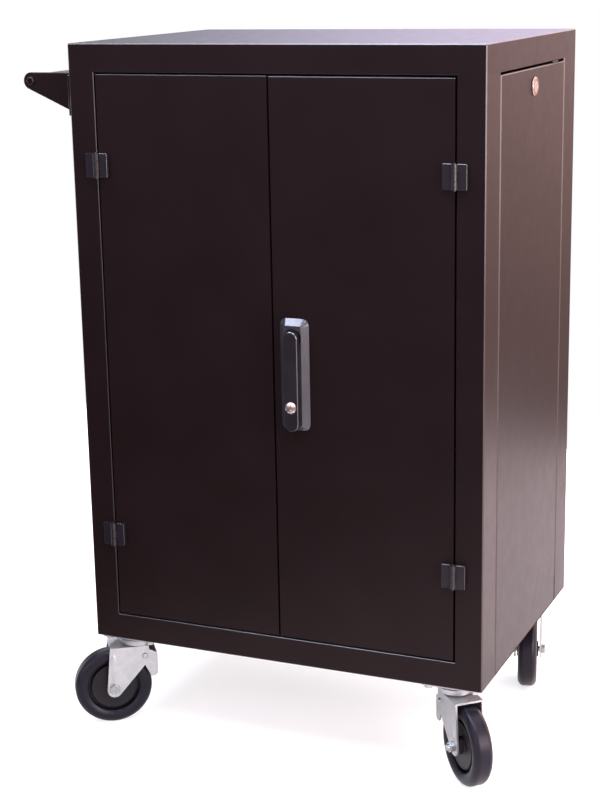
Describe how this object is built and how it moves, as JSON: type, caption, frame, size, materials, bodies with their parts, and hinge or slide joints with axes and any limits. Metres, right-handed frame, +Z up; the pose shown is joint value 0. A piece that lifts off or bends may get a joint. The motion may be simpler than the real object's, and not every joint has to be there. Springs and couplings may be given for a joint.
{
  "type": "laptop charging cart",
  "caption": "Dark steel laptop charging cabinet on swivel casters, with hinged doors, a swing-handle lock, a lockable lift-off side panel, a push handle and divided laptop trays.",
  "frame": {"origin": "on the floor, in the middle of the whole cart's footprint, push handle and wheels included", "axes": "+Z up, the doors face -Y, +X to the right of someone facing the doors"},
  "size_m": [0.7748, 0.5252, 1.09],
  "materials": {
    "cabinet_paint": "dark brown-black satin powder coat",
    "inner_paint": "dark satin powder coat",
    "black_metal": "black satin coating",
    "black_plastic": "black moulded plastic",
    "lock_metal": "nickel-plated lock face",
    "zinc_plate": "bright zinc plate",
    "tyre_rubber": "dark grey rubber tread",
    "hub_plastic": "dark grey moulded wheel centre"
  },
  "bodies": {
    "cabinet": {"top_cover": "cabinet_paint", "base_pan": "cabinet_paint", "post_front_left": "cabinet_paint", "post_front_right": "cabinet_paint", "post_rear_left": "cabinet_paint", "post_rear_right": "cabinet_paint", "back_panel": "cabinet_paint", "left_side_panel": "cabinet_paint", "lower_laptop_tray": "inner_paint", "upper_laptop_tray": "inner_paint", "power_partition": "inner_paint", "power_strip": "black_plastic", "power_inlet": "black_plastic", "push_handle_bracket_front": "cabinet_paint", "push_handle_bracket_rear": "cabinet_paint", "push_handle_tube": "cabinet_paint", "caster_plate_front_left": "zinc_plate", "caster_plate_front_right": "zinc_plate", "caster_plate_rear_left": "zinc_plate", "caster_plate_rear_right": "zinc_plate", "hinge_frame_leaf_left_lower": "black_metal", "hinge_frame_leaf_left_upper": "black_metal", "hinge_frame_leaf_right_lower": "black_metal", "hinge_frame_leaf_right_upper": "black_metal"},
    "rocker_switch": {"power_switch": "black_plastic"},
    "left_door_leaf": {"left_door": "cabinet_paint", "hinge_door_leaf_left_lower": "black_metal", "hinge_door_leaf_left_upper": "black_metal"},
    "door_bolt": {"left_door_bolt": "zinc_plate"},
    "right_door_leaf": {"right_door": "cabinet_paint", "hinge_door_leaf_right_lower": "black_metal", "hinge_door_leaf_right_upper": "black_metal", "handle_housing": "black_plastic"},
    "spindle": {"handle_spindle": "black_metal", "latch_cam": "zinc_plate"},
    "lever": {"handle_lever": "black_metal"},
    "key_plug": {"lock_plug": "lock_metal"},
    "upper_rod": {"upper_latch_rod": "zinc_plate"},
    "lower_rod": {"lower_latch_rod": "zinc_plate"},
    "side_panel": {"right_side_panel": "cabinet_paint", "panel_lock_body": "lock_metal"},
    "side_lock": {"panel_lock_cam": "zinc_plate"},
    "fork_front_left": {"caster_fork_front_left": "zinc_plate", "caster_axle_front_left": "zinc_plate"},
    "wheel_front_left": {"tyre_front_left": "tyre_rubber", "wheel_hub_front_left": "hub_plastic"},
    "brake_front_left": {"brake_pedal_front_left": "zinc_plate"},
    "fork_front_right": {"caster_fork_front_right": "zinc_plate", "caster_axle_front_right": "zinc_plate"},
    "wheel_front_right": {"tyre_front_right": "tyre_rubber", "wheel_hub_front_right": "hub_plastic"},
    "brake_front_right": {"brake_pedal_front_right": "zinc_plate"},
    "fork_rear_left": {"caster_fork_rear_left": "zinc_plate", "caster_axle_rear_left": "zinc_plate"},
    "wheel_rear_left": {"tyre_rear_left": "tyre_rubber", "wheel_hub_rear_left": "hub_plastic"},
    "fork_rear_right": {"caster_fork_rear_right": "zinc_plate", "caster_axle_rear_right": "zinc_plate"},
    "wheel_rear_right": {"tyre_rear_right": "tyre_rubber", "wheel_hub_rear_right": "hub_plastic"}
  },
  "joints": [
    {"name": "left_door_swing", "type": "hinge", "parent": "cabinet", "child": "left_door_leaf", "pos_m": [-0.24591, -0.22361, 0.62], "axis": [0, 0, -1], "range_deg": [0, 175]},
    {"name": "right_door_swing", "type": "hinge", "parent": "cabinet", "child": "right_door_leaf", "pos_m": [0.31709, -0.22361, 0.62], "axis": [0, 0, 1], "range_deg": [0, 175]},
    {"name": "door_bolt_slide", "type": "slide", "parent": "left_door_leaf", "child": "door_bolt", "axis": [0, 0, 1], "range_m": [0, 0.012]},
    {"name": "handle_turn", "type": "hinge", "parent": "right_door_leaf", "child": "spindle", "pos_m": [0.07108, -0.21661, 0.669], "axis": [0, -1, 0], "range_deg": [0, 90]},
    {"name": "handle_lift", "type": "hinge", "parent": "spindle", "child": "lever", "pos_m": [0.07108, -0.23186, 0.669], "axis": [-1, 0, 0], "range_deg": [0, 38]},
    {"name": "key_turn", "type": "hinge", "parent": "lever", "child": "key_plug", "pos_m": [0.07108, -0.23361, 0.566], "axis": [0, -1, 0], "range_deg": [0, 90]},
    {"name": "upper_rod_slide", "type": "slide", "parent": "right_door_leaf", "child": "upper_rod", "axis": [0, 0, -1], "range_m": [0, 0.0256]},
    {"name": "lower_rod_slide", "type": "slide", "parent": "right_door_leaf", "child": "lower_rod", "axis": [0, 0, 1], "range_m": [0, 0.0256]},
    {"name": "side_panel_pull", "type": "slide", "parent": "cabinet", "child": "side_panel", "axis": [1, 0, 0], "range_m": [0, 0.25]},
    {"name": "side_lock_turn", "type": "hinge", "parent": "side_panel", "child": "side_lock", "pos_m": [0.35558, 0.01839, 1.017], "axis": [1, 0, 0], "range_deg": [0, 90]},
    {"name": "power_switch_rock", "type": "hinge", "parent": "cabinet", "child": "rocker_switch", "pos_m": [-0.13992, 0.25439, 0.262], "axis": [1, 0, 0], "range_deg": [0, 14]},
    {"name": "swivel_front_left", "type": "hinge", "parent": "cabinet", "child": "fork_front_left", "pos_m": [-0.23741, -0.17961, 0.135], "axis": [0, 0, 1], "continuous": true},
    {"name": "roll_front_left", "type": "hinge", "parent": "fork_front_left", "child": "wheel_front_left", "pos_m": [-0.27139, -0.20429, 0.0625], "axis": [0.5878, -0.809, 0], "continuous": true},
    {"name": "brake_front_left", "type": "hinge", "parent": "fork_front_left", "child": "brake_front_left", "pos_m": [-0.23013, -0.17432, 0.115], "axis": [-0.5878, 0.809, 0], "range_deg": [0, 13]},
    {"name": "swivel_front_right", "type": "hinge", "parent": "cabinet", "child": "fork_front_right", "pos_m": [0.30858, -0.17961, 0.135], "axis": [0, 0, 1], "continuous": true},
    {"name": "roll_front_right", "type": "hinge", "parent": "fork_front_right", "child": "wheel_front_right", "pos_m": [0.33723, -0.21032, 0.0625], "axis": [0.7314, 0.682, 0], "continuous": true},
    {"name": "brake_front_right", "type": "hinge", "parent": "fork_front_right", "child": "brake_front_right", "pos_m": [0.30245, -0.17302, 0.115], "axis": [-0.7314, -0.682, 0], "range_deg": [0, 13]},
    {"name": "swivel_rear_left", "type": "hinge", "parent": "cabinet", "child": "fork_rear_left", "pos_m": [-0.23741, 0.21639, 0.135], "axis": [0, 0, 1], "continuous": true},
    {"name": "roll_rear_left", "type": "hinge", "parent": "fork_rear_left", "child": "wheel_rear_left", "pos_m": [-0.27798, 0.22726, 0.0625], "axis": [-0.2588, -0.9659, 0], "continuous": true},
    {"name": "swivel_rear_right", "type": "hinge", "parent": "cabinet", "child": "fork_rear_right", "pos_m": [0.30858, 0.21639, 0.135], "axis": [0, 0, 1], "continuous": true},
    {"name": "roll_rear_right", "type": "hinge", "parent": "fork_rear_right", "child": "wheel_rear_right", "pos_m": [0.31946, 0.17582, 0.0625], "axis": [0.9659, 0.2588, 0], "continuous": true}
  ],
  "couplings": [
    {"joint": "upper_rod_slide", "follows": "handle_turn", "m_per_rad": 0.016206},
    {"joint": "lower_rod_slide", "follows": "handle_turn", "m_per_rad": 0.016206}
  ]
}
